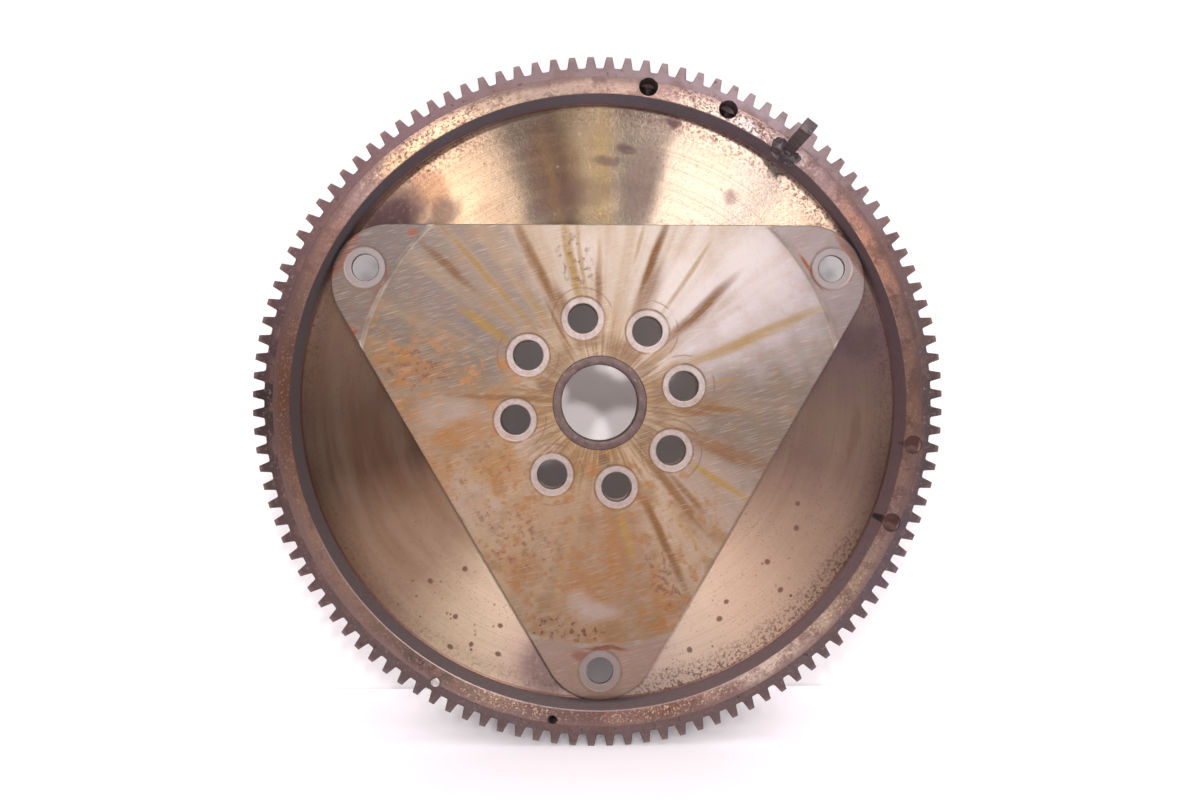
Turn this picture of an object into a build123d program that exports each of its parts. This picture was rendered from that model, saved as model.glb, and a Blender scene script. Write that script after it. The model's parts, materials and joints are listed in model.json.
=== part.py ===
import os
from math import cos, radians, sin

from build123d import *

# Flexplate: a dished carrier with a shrunk-on starter ring and a triangular drive plate.
# The disc stands upright. Its axis is Y, the crank is on the +Y side and the converter
# on the -Y side. The origin is the centre of the face that seats on the crank.
# A "height" is the distance from that face towards the converter.
# A "bearing" is an angle clockwise from the top, seen from the converter side.

# Starter ring gear
module = 2.5
tooth_count = 116
first_tooth_bearing = 1.53
tip_radius = module * (tooth_count + 2) / 2
root_radius = 142.65
tooth_pitch = 360 / tooth_count
tip_land_angle = 1.0
tooth_base_angle = 1.9
root_fillet = 0.8
gear_seat_radius = 139.0

# Heights of the faces, from the crank face towards the converter
floor_height = 6.0
spacer_height = 9.5
plate_height = 11.7
lip_height = 12.6
shoulder_height = 8.0
gear_height = 19.7
rim_height = 20.0

# Carrier: turned floor, wall and rim
wall_top_radius = 131.9
wall_foot_radius = 131.6
wall_fillet = 1.3
rim_edge_chamfer = 0.5
shoulder_radius = 141.8
back_bevel = 3.0
crank_seat_radius = 50.0
relief_outer_radius = 126.0
relief_depth = 0.8

# Hub stack
sleeve_radius = 20.0
sleeve_lip_radius = 20.65
pilot_radius = 16.8
pilot_chamfer = 0.5
spacer_radius = 50.0

# Bolt patterns
crank_bolt_count = 8
crank_bolt_circle = 75.0
crank_hole_diameter = 13.0
crank_first_bearing = -11.3
crank_seat_diameter = 18.8
converter_bolt_count = 3
converter_bolt_circle = 235.0
converter_hole_diameter = 11.5
converter_first_bearing = 60.0
converter_seat_diameter = 18.0
access_hole_diameter = 22.0
seat_depth = 0.1

# Triangular drive plate
corner_radius = 24.8
corner_centre_radius = 105.7
plate_thickness = 2.2
step_radius = 106.4
step_run = 0.9
step_drop = 0.7
tip_bevel_radius = 128.2
tip_bevel_drop = 0.9

# Drillings in the rim, as (bearing, radius from the axis, depth)
balance_diameter = 8.0
balance_drillings = [
    (8.7, 136.5, 11.0),
    (23.6, 137.0, 11.0),
    (97.6, 136.2, 2.2),
    (112.3, 135.9, 2.2),
]
mark_bearing = 188.6
mark_radius = 137.5
mark_diameter = 3.6
mark_depth = 9.0

# Pin that locks the gear on the carrier
pin_bearing = 210.6
pin_radius = 138.5
pin_diameter = 4.0
pin_length = 10.0
pin_crown = 0.6

# Square reference peg, its spigot in the rim and the weld round its base
peg_bearing = 36.7
peg_radius = 137.1
peg_side = 5.4
peg_length = 31.0
peg_end_chamfer = 0.5
spigot_diameter = 3.6
spigot_length = 8.0
weld_radius = 134.2
weld_half_length = 7.6
weld_half_width = 4.5
weld_rise = 2.0
weld_drop = 2.6
weld_crown = 0.55


def face_plane(height):
    """Plane across the axis at a height, facing the converter, with local y up."""
    return Plane.XZ.offset(height)


def spot(bearing, radius):
    """Place on the disc's face at a bearing and radius, turned to that bearing."""
    turn = radians(bearing)
    return Location((radius * sin(turn), radius * cos(turn)), -bearing)


def polar(radius, count, bearing):
    """Even places round the axis, the first at a bearing."""
    return PolarLocations(radius, count, start_angle=90 - bearing)


def finish(part, name):
    """Label a finished piece and write its STEP file."""
    part.label = name
    export_step(part, f"parts/{name}.step")


os.makedirs("parts", exist_ok=True)

crank_bolt_radius = crank_bolt_circle / 2
converter_bolt_radius = converter_bolt_circle / 2
gear_face = face_plane(gear_height)
rim_face = face_plane(rim_height)

with BuildPart() as carrier_plate:
    with BuildSketch(Plane.XY) as carrier_section:
        with BuildLine():
            Polyline(
                (sleeve_radius, 0),
                (sleeve_radius, -floor_height),
                (wall_foot_radius, -floor_height),
                (wall_top_radius, -rim_height),
                (gear_seat_radius, -rim_height),
                (gear_seat_radius, -shoulder_height),
                (shoulder_radius, -shoulder_height),
                (shoulder_radius, -back_bevel),
                (shoulder_radius - back_bevel, 0),
                (relief_outer_radius + relief_depth, 0),
                (relief_outer_radius, -relief_depth),
                (crank_seat_radius + relief_depth, -relief_depth),
                (crank_seat_radius, 0),
                close=True,
            )
        make_face()
        wall_foot = carrier_section.vertices().sort_by_distance((wall_foot_radius, -floor_height))[0]
        fillet(wall_foot, wall_fillet)
        wall_top = carrier_section.vertices().sort_by_distance((wall_top_radius, -rim_height))[0]
        chamfer(wall_top, rim_edge_chamfer)
    revolve(axis=Axis.Y)
    with BuildSketch(face_plane(0)):
        with polar(crank_bolt_radius, crank_bolt_count, crank_first_bearing):
            Circle(crank_hole_diameter / 2)
        with polar(converter_bolt_radius, converter_bolt_count, converter_first_bearing):
            Circle(access_hole_diameter / 2)
    extrude(amount=floor_height, mode=Mode.SUBTRACT)
    for bearing, radius, depth in balance_drillings:
        with BuildSketch(rim_face):
            with Locations(spot(bearing, radius)):
                Circle(balance_diameter / 2)
        extrude(amount=-depth, mode=Mode.SUBTRACT)
    with BuildSketch(rim_face):
        with Locations(spot(mark_bearing, mark_radius)):
            Circle(mark_diameter / 2)
    extrude(amount=-mark_depth, mode=Mode.SUBTRACT)
    with BuildSketch(rim_face):
        with Locations(spot(pin_bearing, pin_radius)):
            Circle(pin_diameter / 2)
    extrude(amount=-pin_length, mode=Mode.SUBTRACT)
    with BuildSketch(rim_face):
        with Locations(spot(peg_bearing, peg_radius)):
            Circle(spigot_diameter / 2)
    extrude(amount=-spigot_length, mode=Mode.SUBTRACT)
finish(carrier_plate.part, "carrier_plate")

with BuildPart() as ring_gear:
    with BuildSketch(gear_face):
        Circle(tip_radius)
        gap_tip = radians(tooth_pitch - tip_land_angle) * tip_radius
        gap_root = radians(tooth_pitch - tooth_base_angle) * root_radius
        flank_spread = (gap_tip - gap_root) / (tip_radius - root_radius)
        with BuildSketch(Plane.XY, mode=Mode.PRIVATE) as tooth_gap:
            with BuildLine():
                Polyline(
                    (-gap_root / 2, root_radius),
                    (gap_root / 2, root_radius),
                    (gap_tip / 2 + flank_spread / 2, tip_radius + 1),
                    (-gap_tip / 2 - flank_spread / 2, tip_radius + 1),
                    close=True,
                )
            make_face()
            fillet(tooth_gap.vertices().group_by(Axis.Y)[0], root_fillet)
        with PolarLocations(0, tooth_count, start_angle=-first_tooth_bearing - tooth_pitch / 2):
            add(tooth_gap.sketch, mode=Mode.SUBTRACT)
        Circle(gear_seat_radius, mode=Mode.SUBTRACT)
    extrude(amount=-(gear_height - shoulder_height))
    for bearing, radius, depth in balance_drillings:
        with BuildSketch(rim_face):
            with Locations(spot(bearing, radius)):
                Circle(balance_diameter / 2)
        extrude(amount=-depth, mode=Mode.SUBTRACT)
    with BuildSketch(rim_face):
        with Locations(spot(mark_bearing, mark_radius)):
            Circle(mark_diameter / 2)
    extrude(amount=-mark_depth, mode=Mode.SUBTRACT)
    with BuildSketch(rim_face):
        with Locations(spot(pin_bearing, pin_radius)):
            Circle(pin_diameter / 2)
    extrude(amount=-pin_length, mode=Mode.SUBTRACT)
finish(ring_gear.part, "ring_gear")

with BuildPart() as spacer_ring:
    with BuildSketch(face_plane(floor_height)):
        Circle(spacer_radius)
        Circle(sleeve_radius, mode=Mode.SUBTRACT)
        with polar(crank_bolt_radius, crank_bolt_count, crank_first_bearing):
            Circle(crank_hole_diameter / 2, mode=Mode.SUBTRACT)
    extrude(amount=spacer_height - floor_height)
finish(spacer_ring.part, "spacer_ring")

with BuildPart() as drive_plate:
    tab_height = plate_height - step_drop
    plate_apex = corner_centre_radius + corner_radius
    with BuildSketch(Plane.XY):
        with BuildLine():
            Polyline(
                (sleeve_radius, -plate_height + plate_thickness),
                (sleeve_radius, -plate_height),
                (step_radius, -plate_height),
                (step_radius + step_run, -tab_height),
                (tip_bevel_radius, -tab_height),
                (plate_apex + 1, -tab_height + tip_bevel_drop),
                (plate_apex + 1, -tab_height + plate_thickness),
                (step_radius + step_run, -tab_height + plate_thickness),
                (step_radius, -plate_height + plate_thickness),
                close=True,
            )
        make_face()
    revolve(axis=Axis.Y)
    with BuildSketch(face_plane(0)):
        with polar(corner_centre_radius, converter_bolt_count, converter_first_bearing):
            Circle(corner_radius)
        make_hull()
        with polar(crank_bolt_radius, crank_bolt_count, crank_first_bearing):
            Circle(crank_hole_diameter / 2, mode=Mode.SUBTRACT)
        with polar(converter_bolt_radius, converter_bolt_count, converter_first_bearing):
            Circle(converter_hole_diameter / 2, mode=Mode.SUBTRACT)
    extrude(amount=rim_height, mode=Mode.INTERSECT)
    with BuildSketch(face_plane(plate_height)):
        with polar(crank_bolt_radius, crank_bolt_count, crank_first_bearing):
            Circle(crank_seat_diameter / 2)
    extrude(amount=-seat_depth, mode=Mode.SUBTRACT)
    with BuildSketch(face_plane(tab_height)):
        with polar(converter_bolt_radius, converter_bolt_count, converter_first_bearing):
            Circle(converter_seat_diameter / 2)
    extrude(amount=-seat_depth, mode=Mode.SUBTRACT)
finish(drive_plate.part, "drive_plate")

with BuildPart() as hub_sleeve:
    with BuildSketch(Plane.XY) as sleeve_section:
        with BuildLine():
            Polyline(
                (pilot_radius, 0),
                (sleeve_radius, 0),
                (sleeve_radius, -plate_height),
                (sleeve_lip_radius, -plate_height),
                (sleeve_lip_radius, -lip_height),
                (pilot_radius, -lip_height),
                close=True,
            )
        make_face()
        chamfer(sleeve_section.vertices().group_by(Axis.Y)[0], pilot_chamfer)
    revolve(axis=Axis.Y)
finish(hub_sleeve.part, "hub_sleeve")

with BuildPart() as gear_lock_pin:
    with BuildSketch(rim_face):
        with Locations(spot(pin_bearing, pin_radius)):
            Circle(pin_diameter / 2)
    extrude(amount=-pin_length)
    extrude(gear_lock_pin.faces().sort_by(Axis.Y)[0], amount=pin_crown)
    fillet(gear_lock_pin.edges().group_by(Axis.Y)[0], pin_crown * 0.95)
finish(gear_lock_pin.part, "gear_lock_pin")

with BuildPart() as reference_peg:
    with BuildSketch(rim_face):
        with Locations(spot(peg_bearing, peg_radius)):
            Rectangle(peg_side, peg_side)
    extrude(amount=peg_length)
    chamfer(reference_peg.edges().group_by(Axis.Y)[0], peg_end_chamfer)
    with BuildSketch(rim_face):
        with Locations(spot(peg_bearing, peg_radius)):
            Circle(spigot_diameter / 2)
    extrude(amount=-spigot_length)
finish(reference_peg.part, "reference_peg")

with BuildPart() as peg_weld:
    with BuildSketch(face_plane(rim_height - weld_drop)):
        with Locations(spot(peg_bearing, weld_radius)):
            Ellipse(weld_half_length, weld_half_width)
    with BuildSketch(rim_face):
        with Locations(spot(peg_bearing, weld_radius)):
            Ellipse(weld_half_length, weld_half_width)
    with BuildSketch(face_plane(rim_height + weld_rise)):
        with Locations(spot(peg_bearing, weld_radius)):
            Ellipse(weld_half_length * weld_crown, weld_half_width * weld_crown)
    loft(ruled=True)
    add(carrier_plate.part, mode=Mode.SUBTRACT)
    add(reference_peg.part, mode=Mode.SUBTRACT)
finish(peg_weld.part, "peg_weld")
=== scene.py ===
import json
import math

import bmesh
import bpy
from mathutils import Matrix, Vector, noise
from mathutils.geometry import delaunay_2d_cdt


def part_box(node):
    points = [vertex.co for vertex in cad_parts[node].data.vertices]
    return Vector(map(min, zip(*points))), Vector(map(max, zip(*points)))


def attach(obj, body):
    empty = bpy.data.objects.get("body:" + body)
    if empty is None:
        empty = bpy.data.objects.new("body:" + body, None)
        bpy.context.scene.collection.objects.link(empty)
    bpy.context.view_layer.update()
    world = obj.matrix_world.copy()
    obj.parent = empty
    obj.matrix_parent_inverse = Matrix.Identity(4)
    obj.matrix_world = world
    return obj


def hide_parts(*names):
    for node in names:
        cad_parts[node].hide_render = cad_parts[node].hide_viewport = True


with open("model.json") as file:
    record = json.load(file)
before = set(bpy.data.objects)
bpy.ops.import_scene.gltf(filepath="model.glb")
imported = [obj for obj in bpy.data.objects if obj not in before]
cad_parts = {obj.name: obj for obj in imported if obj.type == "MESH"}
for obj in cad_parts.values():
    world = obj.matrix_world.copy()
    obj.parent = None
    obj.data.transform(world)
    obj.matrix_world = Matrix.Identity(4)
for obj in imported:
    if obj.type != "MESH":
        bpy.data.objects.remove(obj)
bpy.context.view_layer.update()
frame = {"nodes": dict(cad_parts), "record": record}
mm = 0.001
print("frame loaded:", sorted(frame["nodes"]))

# Heights are millimetres from the crank face towards the converter, bearings are degrees
# clockwise from the top as the converter sees the disc.


def boxHeights(node):
    low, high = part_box(node)
    return -high.y / mm, -low.y / mm


def boxRadius(node):
    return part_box(node)[1].x / mm


def boltCircle(mount, first, seat):
    return {"radius": mount["pcd_mm"] / 2, "count": mount["count"], "hole": mount["hole_r_mm"],
            "first": first, "seat": seat}


mounts = {m["name"]: m["dims"] for m in frame["record"]["mounts"]}
crankBolts = boltCircle(mounts["crank_bolts"], -11.3, 9.4)
tabBolts = boltCircle(mounts["converter_bolts"], 60.0, 9.0)
rimHeight = boxHeights("carrier_plate")[1]
gearBack, gearFront = boxHeights("ring_gear")
sleeveFront = boxHeights("hub_sleeve")[1]
plateFront = boxHeights("drive_plate")[1]
tipRadius = boxRadius("ring_gear") + 0.005
gearSeat = 139.0


# small tools for nodes and meshes


def plug(value, socket):
    if isinstance(value, bpy.types.NodeSocket):
        socket.id_data.links.new(value, socket)
    elif socket.type == "RGBA" and len(value) == 3:
        socket.default_value = (*value, 1)
    else:
        socket.default_value = value


def addNode(tree, kind, inputs, **settings):
    # inputs by name or number, each a value or another node's output
    node = tree.nodes.new(kind)
    for key, value in settings.items():
        setattr(node, key, value)
    for name, value in inputs.items():
        plug(value, node.inputs[name])
    return node.outputs


def onDisc(bearing, radius, height):
    turn = math.radians(bearing)
    return Vector((radius * math.sin(turn), -height, radius * math.cos(turn))) * mm


def polar(angle, radius):
    return Vector((radius * math.sin(angle), radius * math.cos(angle)))


def boltPlaces(pattern):
    step = 360 / pattern["count"]
    return [(pattern["first"] + k * step, pattern["radius"]) for k in range(pattern["count"])]


def wobble(place, size, seed):
    return noise.noise(place / (size * mm) + Vector((seed * 17.3, seed * 5.1, seed * 9.7)))


def fullTurn(steps):
    return [2 * math.pi * k / steps for k in range(steps)]


def skin(work, rings):
    # faces from ring to ring; a ring of one vertex is a point
    for here, there in zip(rings, rings[1:]):
        steps = max(len(here), len(there))
        for k in range(steps):
            n = (k + 1) % steps
            corners = [here[k % len(here)], here[n % len(here)], there[n % len(there)], there[k % len(there)]]
            work.faces.new(list(dict.fromkeys(corners)))


def softShade(mesh, sharp=32):
    mesh.polygons.foreach_set("use_smooth", [True] * len(mesh.polygons))
    mesh.set_sharp_from_angle(angle=math.radians(sharp))


def newPiece(name, work, sharp=32):
    bmesh.ops.remove_doubles(work, verts=work.verts, dist=0.002 * mm)
    bmesh.ops.recalc_face_normals(work, faces=work.faces)
    mesh = bpy.data.meshes.new(name)
    work.to_mesh(mesh)
    work.free()
    softShade(mesh, sharp)
    piece = bpy.data.objects.new(name, mesh)
    bpy.context.scene.collection.objects.link(piece)
    return piece


def settle(piece):
    # the modifiers' result becomes the piece's own mesh
    graph = bpy.context.evaluated_depsgraph_get()
    ready = bpy.data.meshes.new_from_object(piece.evaluated_get(graph), depsgraph=graph)
    piece.modifiers.clear()
    piece.data = ready
    softShade(ready)


def turn(name, profile, steps, shift):
    # a closed (radius, height) profile turned round the axis
    work = bmesh.new()
    rings = []
    for k in range(steps):
        places = [(onDisc(360 * k / steps, radius, height), radius, height) for radius, height in profile]
        rings.append([work.verts.new(shift(*place)) for place in places])
    skin(work, rings + rings[:1])
    return newPiece(name, work)


def drill(work, bearing, radius, profile, steps=48):
    # adds one closed cutter: (radius, height) steps of a hole, from its mouth to its end
    centre = onDisc(bearing, radius, 0)
    rings = []
    for across, height in profile:
        spots = [Vector((across * math.sin(a), -height, across * math.cos(a))) for a in fullTurn(steps)]
        rings.append([work.verts.new(centre + spot * mm) for spot in spots])
    skin(work, rings)
    work.faces.new(rings[0])
    work.faces.new(rings[-1])


def carve(piece, work):
    cutter = newPiece("cutter", work)
    cut = piece.modifiers.new("drillings", "BOOLEAN")
    cut.operation = "DIFFERENCE"
    cut.solver = "EXACT"
    cut.object = cutter
    settle(piece)
    bpy.data.objects.remove(cutter)


def cornerArc(before, corner, after, radius, steps):
    # a rounded corner between two straight edges, as points
    back, ahead = (before - corner).normalized(), (after - corner).normalized()
    half = back.angle(ahead) / 2
    reach = radius / math.tan(half)
    centre = corner + (back + ahead).normalized() * (radius / math.sin(half))
    start, stop = corner + back * reach - centre, corner + ahead * reach - centre
    sweep = start.angle_signed(stop)
    points = []
    for k in range(steps + 1):
        a = -sweep * k / steps
        points.append(centre + Vector((start.x * math.cos(a) - start.y * math.sin(a),
                                       start.x * math.sin(a) + start.y * math.cos(a))))
    return points


# rim drillings, shared by the carrier and the ring gear
rimDrillings = {
    "balance": {"hole": 3.9, "chamfer": 0.25, "cone": 1.7,
                "places": [(8.7, 136.5, 11.0), (23.6, 137.0, 11.0), (97.6, 136.2, 2.2), (112.3, 135.9, 2.2)]},
    "mark": {"bearing": 188.6, "radius": 137.5, "hole": 1.8, "chamfer": 0.45, "depth": 9.0},
    "pin": {"bearing": 210.6, "radius": 138.5, "hole": 2.0, "chamfer": 0.2, "depth": 10.0},
}


def drillRim(work):
    above = rimHeight + 1
    balance, mark, pin = rimDrillings["balance"], rimDrillings["mark"], rimDrillings["pin"]
    for bearing, radius, depth in balance["places"]:
        hole, edge = balance["hole"], balance["chamfer"]
        cone = min(balance["cone"], depth * 0.45)
        drill(work, bearing, radius, [(hole + edge + 1, above), (hole, rimHeight - edge),
                                      (hole, rimHeight - depth + cone), (0.15, rimHeight - depth)])
    for spot in (mark, pin):
        hole, edge = spot["hole"], spot["chamfer"]
        drill(work, spot["bearing"], spot["radius"],
              [(hole + edge + 1, above), (hole, rimHeight - edge), (hole, rimHeight - spot["depth"])], 32)


# carrier plate
carrier = {
    "bore": 20.0, "floor": boxHeights("spacer_ring")[0], "wallFoot": 131.6, "wallTop": 131.9, "fillet": 0.75,
    "lip": 0.5, "shoulder": 141.8, "bevel": 3.0, "seat": 50.0, "relief": 126.0, "reliefDepth": 0.8,
    "access": 11.0, "steps": 384,
}


def makeCarrier():
    c = carrier
    foot = Vector((c["wallFoot"], c["floor"]))
    top = Vector((c["wallTop"], rimHeight))
    floorEdge, rimEdge = Vector((c["bore"], c["floor"])), Vector((gearSeat, rimHeight))
    filletArc = cornerArc(floorEdge, foot, top, c["fillet"], 6)
    lipArc = cornerArc(foot, top, rimEdge, c["lip"], 5)
    floorRings = [(r, c["floor"]) for r in (c["bore"], 50, 78, 95, 108, 118, 126)]
    back, shoulder, deep = c["bevel"], c["shoulder"], c["reliefDepth"]
    profile = floorRings + [tuple(p) for p in filletArc] + [tuple(p) for p in lipArc] + [
        (gearSeat - 0.1, rimHeight), (gearSeat, rimHeight - 0.1), (gearSeat, gearBack),
        (shoulder - 0.3, gearBack), (shoulder, gearBack - 0.3), (shoulder, back + 0.5),
        (shoulder - 0.2, back - 0.1), (shoulder - back + 0.1, 0.15), (shoulder - back - 0.4, 0),
        (c["relief"] + deep, 0), (c["relief"], deep), (c["seat"] + deep, deep), (c["seat"], 0),
        (c["bore"], 0),
    ]

    def runout(place, radius, height):
        # the turned faces are true to a few hundredths; the rim is a touch uneven from wear
        if height > rimHeight - 1 and radius < gearSeat - 0.5:
            place.y += 0.05 * mm * wobble(place, 9, 2)
        return place

    piece = turn("carrierDisc", profile, c["steps"], runout)
    work = bmesh.new()
    hole = crankBolts["hole"]
    for bearing, radius in boltPlaces(crankBolts):
        drill(work, bearing, radius, [(hole, c["floor"] + 1), (hole, 0.6), (hole + 1.6, -1)])
    for bearing, radius in boltPlaces(tabBolts):
        drill(work, bearing, radius, [(c["access"] + 1.5, c["floor"] + 1), (c["access"], c["floor"] - 0.5),
                                      (c["access"], 0.5), (c["access"] + 1.5, -1)], 72)
    drillRim(work)
    low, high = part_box("reference_peg")
    centre = (low + high) / 2
    pegRadius = math.hypot(centre.x, centre.z) / mm
    pegBearing = math.degrees(math.atan2(centre.x, centre.z))
    drill(work, pegBearing, pegRadius, [(1.8, rimHeight + 1), (1.8, rimHeight - 8)], 32)
    carve(piece, work)
    return piece


# ring gear
gear = {
    "teeth": 116, "firstTooth": 1.53, "rootRadius": 142.65, "tipHalfAngle": 0.5, "baseHalfAngle": 0.95,
    "fillet": 0.8, "tipRound": 0.3, "edge": 0.28, "wear": 0.16, "seed": 4.0,
}
halfPitch = math.radians(180 / gear["teeth"])


def toothOutline():
    # half of one tooth from the middle of the gap to the middle of the tip, then mirrored
    g = gear
    gap = polar(-halfPitch, g["rootRadius"])
    base = polar(-math.radians(g["baseHalfAngle"]), g["rootRadius"])
    shoulder, tip = polar(-math.radians(g["tipHalfAngle"]), tipRadius), polar(0, tipRadius)
    half = [gap] + cornerArc(gap, base, shoulder, g["fillet"], 4)
    half += cornerArc(base, shoulder, tip, g["tipRound"], 3)
    return half + [tip] + [Vector((-p.x, p.y)) for p in reversed(half)]


def insetLine(points, depth):
    # the same line moved into the metal, square to itself
    moved = []
    for before, point, after in zip(points[:1] + points, points, points[1:] + points[-1:]):
        along = (after - before).normalized()
        moved.append(point + Vector((along.y, -along.x)) * depth)
    reach = gear["rootRadius"] - depth
    moved[0], moved[-1] = polar(-halfPitch, reach), polar(halfPitch, reach)
    return moved


def makeToothSector():
    edge, outline = gear["edge"], toothOutline()
    inner = insetLine(outline, edge)
    work = bmesh.new()

    def row(points, height):
        return [work.verts.new(Vector((p.x, -height, p.y)) * mm) for p in points]

    def seat(radius, height):
        return row([polar(halfPitch * (k / 2 - 1), radius) for k in range(5)], height)

    widths = [gearFront - edge - k * (gearFront - gearBack - 2 * edge) / 4 for k in range(5)]
    rows = [row(inner, gearFront)] + [row(outline, h) for h in widths] + [row(inner, gearBack)]
    seats = [seat(gearSeat + 0.08, gearFront), seat(gearSeat, gearFront - 0.08), seat(gearSeat, gearBack)]
    for here, there in list(zip(rows, rows[1:])) + list(zip(seats, seats[1:])):
        for k in range(len(here) - 1):
            work.faces.new((here[k], here[k + 1], there[k + 1], there[k]))
    work.faces.new(rows[0] + list(reversed(seats[0])))
    work.faces.new(rows[-1] + list(reversed(seats[-1])))
    return newPiece("toothSector", work)


def gearTree():
    # one sector repeated round the axis, welded into a ring, then worn a little
    tree = bpy.data.node_groups.new("toothRing", "GeometryNodeTree")
    sockets = {"Geometry": "Geometry", "Sector": "Object", "Teeth": "Int", "First tooth": "Float",
               "Weld gap": "Float", "Wear": "Float", "Seed": "Float", "Material": "Material"}
    for label, kind in sockets.items():
        tree.interface.new_socket(label, in_out="INPUT", socket_type="NodeSocket" + kind)
    tree.interface.new_socket("Geometry", in_out="OUTPUT", socket_type="NodeSocketGeometry")

    def add(kind, inputs, **settings):
        return addNode(tree, kind, inputs, **settings)

    given = add("NodeGroupInput", {})
    sector = add("GeometryNodeObjectInfo", {"Object": given["Sector"]})
    points = add("GeometryNodePoints", {"Count": given["Teeth"]})
    index = add("GeometryNodeInputIndex", {})
    pitch = add("ShaderNodeMath", {0: 2 * math.pi, 1: given["Teeth"]}, operation="DIVIDE")
    angle = add("ShaderNodeMath", {0: index[0], 1: pitch[0], 2: given["First tooth"]},
                operation="MULTIPLY_ADD")
    turnBy = add("ShaderNodeCombineXYZ", {"Y": angle[0]})
    spread = add("GeometryNodeInstanceOnPoints",
                 {"Points": points[0], "Instance": sector["Geometry"], "Rotation": turnBy[0]})
    real = add("GeometryNodeRealizeInstances", {0: spread[0]})
    weld = add("GeometryNodeMergeByDistance", {"Geometry": real[0], "Distance": given["Weld gap"]})
    rough = add("ShaderNodeTexNoise", {"Scale": 260, "Detail": 2, "W": given["Seed"]}, noise_dimensions="4D")
    centred = add("ShaderNodeVectorMath", {0: rough["Color"], 1: (0.5, 0.5, 0.5)}, operation="SUBTRACT")
    sized = add("ShaderNodeVectorMath", {0: centred[0], "Scale": given["Wear"]}, operation="SCALE")
    place = add("GeometryNodeInputPosition", {})
    flat = add("ShaderNodeVectorMath", {0: place[0], 1: (1, 0, 1)}, operation="MULTIPLY")
    length = add("ShaderNodeVectorMath", {0: flat[0]}, operation="LENGTH")
    foot, tip = (gear["rootRadius"] - 0.2) * mm, tipRadius * mm
    onTeeth = add("ShaderNodeMapRange", {"Value": length["Value"], "From Min": foot, "From Max": tip})
    worn = add("ShaderNodeVectorMath", {0: sized[0], "Scale": onTeeth[0]}, operation="SCALE")
    move = add("GeometryNodeSetPosition", {"Geometry": weld[0], "Offset": worn[0]})
    paint = add("GeometryNodeSetMaterial", {"Geometry": move[0], "Material": given["Material"]})
    add("NodeGroupOutput", {0: paint[0]})
    return tree


def makeRingGear(finish):
    sector = makeToothSector()
    piece = bpy.data.objects.new("ringGear", bpy.data.meshes.new("ringGear"))
    bpy.context.scene.collection.objects.link(piece)
    ring = piece.modifiers.new("teeth", "NODES")
    ring.node_group = gearTree()
    values = {"Sector": sector, "Teeth": gear["teeth"], "First tooth": math.radians(gear["firstTooth"]),
              "Weld gap": 0.03 * mm, "Wear": gear["wear"] * mm, "Seed": gear["seed"], "Material": finish}
    for item in ring.node_group.interface.items_tree:
        if item.name in values:
            ring[item.identifier] = values[item.name]
    settle(piece)
    bpy.data.objects.remove(sector)
    work = bmesh.new()
    drillRim(work)
    carve(piece, work)
    return piece


# drive plate
plate = {
    "corner": 24.8, "cornerCentre": 105.7, "thick": 2.2, "step": 105.4, "stepRun": 2.3, "stepDrop": 0.34,
    "bevelFrom": 128.2, "bevelRun": 4.4, "bevelDrop": 0.81, "side": 77.65, "edge": 0.22, "bore": 20.0,
    "seatDepth": 0.1, "grid": 3.6,
}


def plateOutline(inset):
    # three corner arcs joined by straight edges
    points = []
    for k in range(3):
        bearing = tabBolts["first"] + 120 * k
        centre = polar(math.radians(bearing), plate["cornerCentre"])
        sweep = [math.radians(bearing - 60 + 120 * j / 32) for j in range(33)]
        points += [centre + polar(a, plate["corner"] - inset) for a in sweep]
    ring = []
    for point, after in zip(points, points[1:] + points[:1]):
        pieces = max(1, round((after - point).length / 5))
        ring += [point.lerp(after, j / pieces) for j in range(pieces)]
    return ring


def edgeDepth(x, z):
    # distance in from the outline
    best = 1e9
    for k in range(3):
        side = math.radians(120 * k)
        corner = side + math.radians(tabBolts["first"])
        best = min(best, plate["side"] - (x * math.sin(side) + z * math.cos(side)))
        ox, oz = math.sin(corner), math.cos(corner)
        across, past = x * oz - z * ox, x * ox + z * oz - plate["cornerCentre"]
        if past > 0 and past > abs(across) / math.tan(math.radians(60)):
            best = min(best, plate["corner"] - math.hypot(past, across))
    return best


def ramp01(value, low, high):
    t = min(max((value - low) / (high - low), 0), 1)
    return t * t * (3 - 2 * t)


def plateSurface(x, z, front):
    p = plate
    radius = math.hypot(x, z)
    height = plateFront - p["stepDrop"] * ramp01(radius, p["step"], p["step"] + p["stepRun"])
    place = Vector((x, 0, z)) * mm
    height += 0.05 * wobble(place, 70, 1) + 0.02 * wobble(place, 22, 3)
    if not front:
        return height - p["thick"]
    height -= p["bevelDrop"] * ramp01(radius, p["bevelFrom"], p["bevelFrom"] + p["bevelRun"])
    for pattern in (crankBolts, tabBolts):
        for bearing, out in boltPlaces(pattern):
            away = (Vector((x, z)) - polar(math.radians(bearing), out)).length
            height -= p["seatDepth"] * (1 - ramp01(away, pattern["seat"] - 0.15, pattern["seat"] + 0.15))
    return height


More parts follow.
